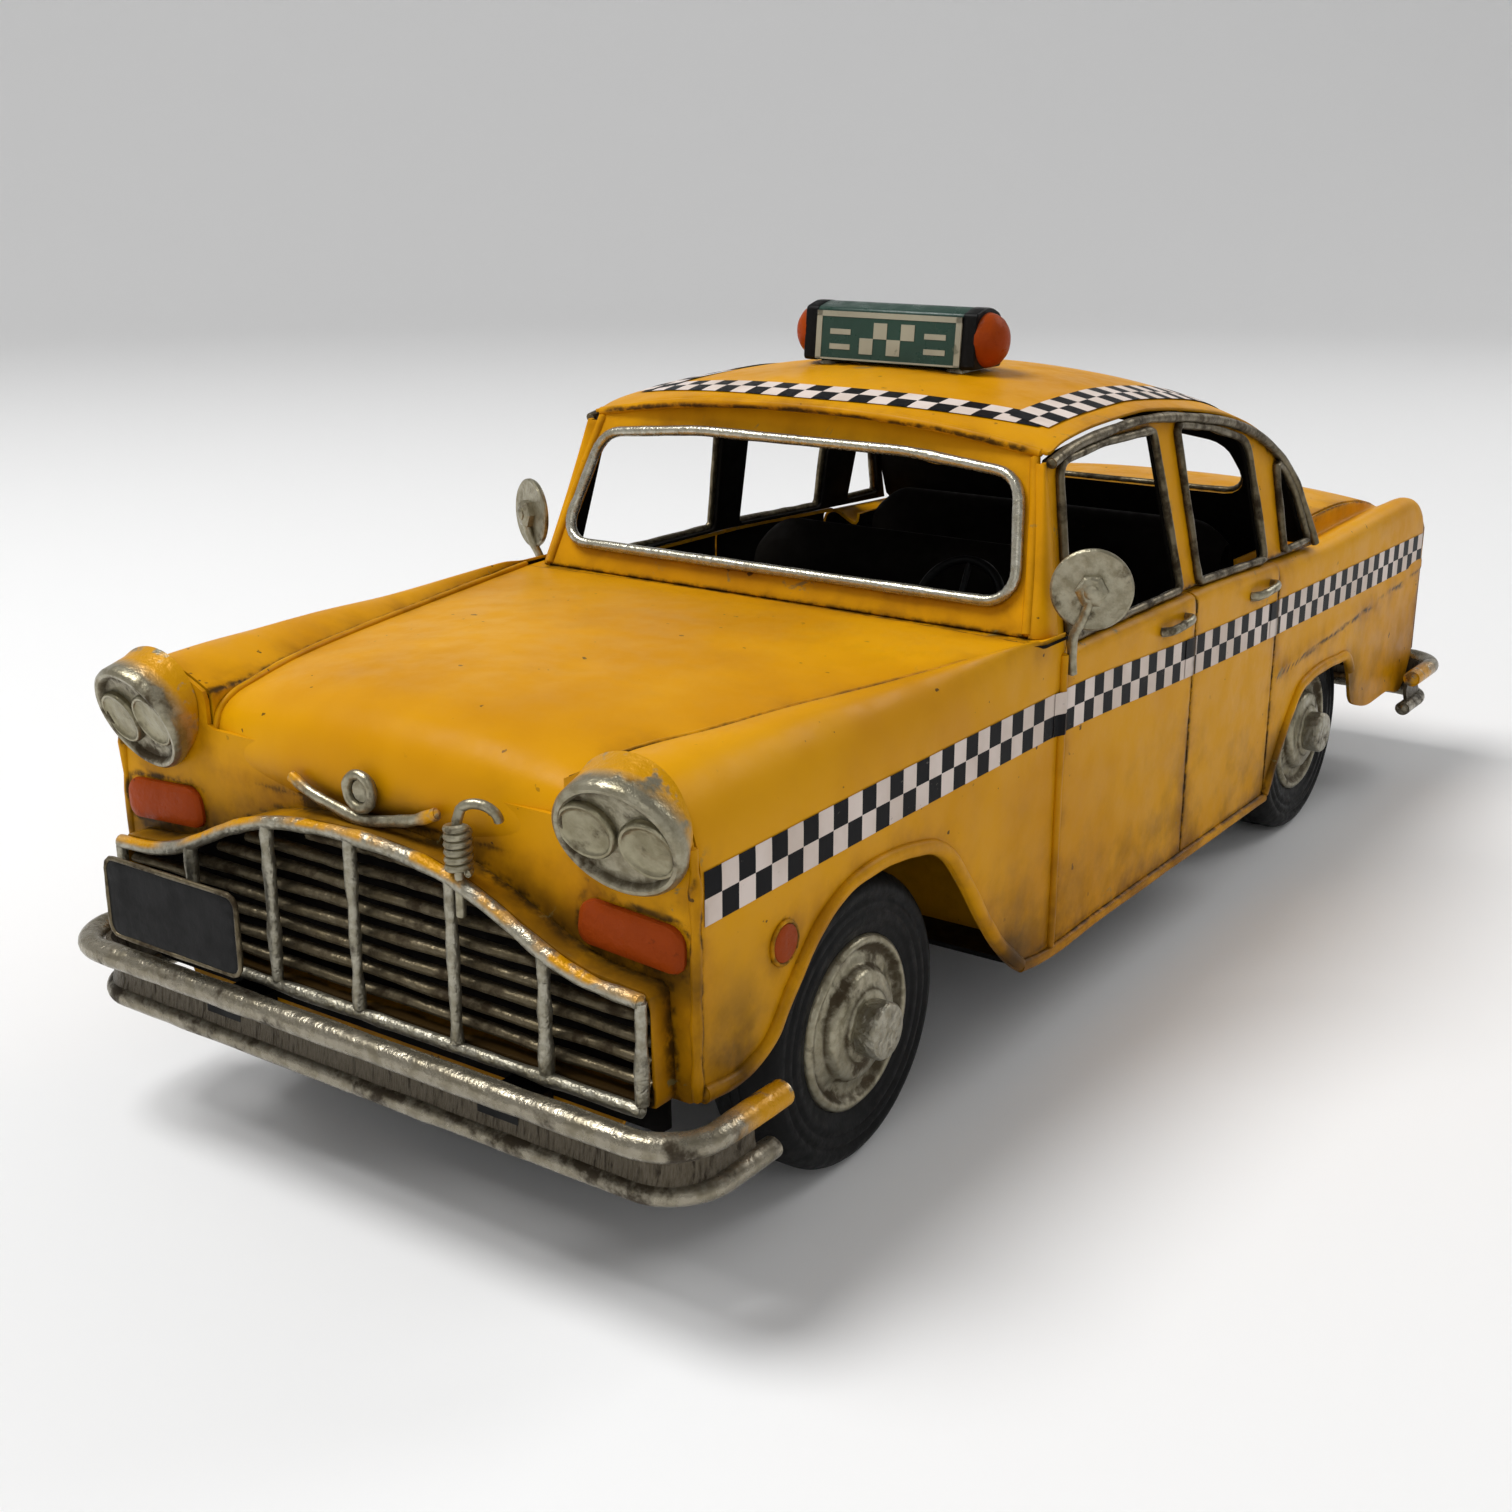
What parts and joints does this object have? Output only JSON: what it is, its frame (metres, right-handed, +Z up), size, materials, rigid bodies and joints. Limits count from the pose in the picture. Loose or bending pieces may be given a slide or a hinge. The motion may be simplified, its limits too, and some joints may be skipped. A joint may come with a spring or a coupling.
{
  "type": "friction tin car",
  "caption": "Free-standing pressed tin cab with a long hood, arched roof, roof sign, wire-barred grille, channel bumpers and freely turning wheels on an inner flywheel drive.",
  "frame": {"origin": "on the ground under the middle of the car: the bottom centre of the bounding box", "axes": "+Z up, -Y towards the car's front, +X towards the car's own left side; the wheels turn about X"},
  "size_m": [0.1434, 0.347, 0.1306],
  "materials": {
    "yellow_paint": "hand-brushed satin enamel with a brown wash in the seams",
    "silver_trim": "aged pewter-like metal paint with brown patina",
    "lens": "grey painted lamp disc",
    "red_lamp": "orange-red brushed enamel",
    "black_paint": "matt black enamel, worn at the edges",
    "green_sign": "dark green enamel panel",
    "tyre": "moulded black rubber with fine rings",
    "steel": "plain bright steel",
    "brass_gear": "cut brass"
  },
  "bodies": {
    "body": {"floor_pan": "black_paint", "hood": "yellow_paint", "front_fender_left": "yellow_paint", "front_fender_right": "yellow_paint", "nose_panel": "yellow_paint", "cowl_panel": "yellow_paint", "windscreen_frame": "yellow_paint", "windscreen_trim": "silver_trim", "roof_panel": "yellow_paint", "side_frame_left": "yellow_paint", "side_frame_right": "yellow_paint", "window_trim_left": "silver_trim", "window_trim_right": "silver_trim", "rear_window_frame": "yellow_paint", "front_door_left": "yellow_paint", "front_door_right": "yellow_paint", "rear_door_left": "yellow_paint", "rear_door_right": "yellow_paint", "rear_quarter_left": "yellow_paint", "rear_quarter_right": "yellow_paint", "trunk_lid": "yellow_paint", "rear_panel": "yellow_paint", "arch_beads": "yellow_paint", "rocker_beads": "yellow_paint", "grille_surround": "yellow_paint", "grille_slats": "silver_trim", "grille_bars": "silver_trim", "coil_hook": "silver_trim", "hood_emblem": "silver_trim", "headlight_bezels": "silver_trim", "headlight_lenses": "lens", "indicators": "red_lamp", "side_markers": "red_lamp", "tail_lamps": "red_lamp", "front_bumper": "silver_trim", "rear_bumper": "silver_trim", "bumper_brackets": "black_paint", "number_plate": "black_paint", "mirror_left": "silver_trim", "mirror_right": "silver_trim", "door_handles": "silver_trim", "sign_body": "green_sign", "sign_caps": "black_paint", "sign_lamps": "red_lamp", "sign_feet": "silver_trim", "front_seat": "black_paint", "rear_seat": "black_paint", "dashboard": "black_paint", "steering_wheel": "black_paint", "axle_brackets": "steel", "motor_frame": "steel"},
    "front_wheelset": {"front_axle": "steel", "front_hubs": "silver_trim", "front_tyres": "tyre"},
    "rear_wheelset": {"rear_axle": "steel", "rear_hubs": "silver_trim", "rear_tyres": "tyre", "drive_gear": "brass_gear"},
    "idler": {"idler_gear": "brass_gear"},
    "flywheel_shaft": {"flywheel": "steel"}
  },
  "joints": [
    {"name": "front_axle_spin", "type": "hinge", "parent": "body", "child": "front_wheelset", "pos_m": [0, -0.1104, 0.025], "axis": [1, 0, 0], "continuous": true},
    {"name": "rear_axle_spin", "type": "hinge", "parent": "body", "child": "rear_wheelset", "pos_m": [0, 0.0928, 0.025], "axis": [1, 0, 0], "continuous": true},
    {"name": "idler_spin", "type": "hinge", "parent": "body", "child": "idler", "pos_m": [0, 0.08728, 0.02963], "axis": [1, 0, 0], "continuous": true},
    {"name": "flywheel_spin", "type": "hinge", "parent": "body", "child": "flywheel_shaft", "pos_m": [0, 0.08105, 0.03323], "axis": [1, 0, 0], "continuous": true}
  ],
  "couplings": [
    {"joint": "idler_spin", "follows": "rear_axle_spin", "ratio": -2},
    {"joint": "flywheel_spin", "follows": "rear_axle_spin", "ratio": 4}
  ]
}
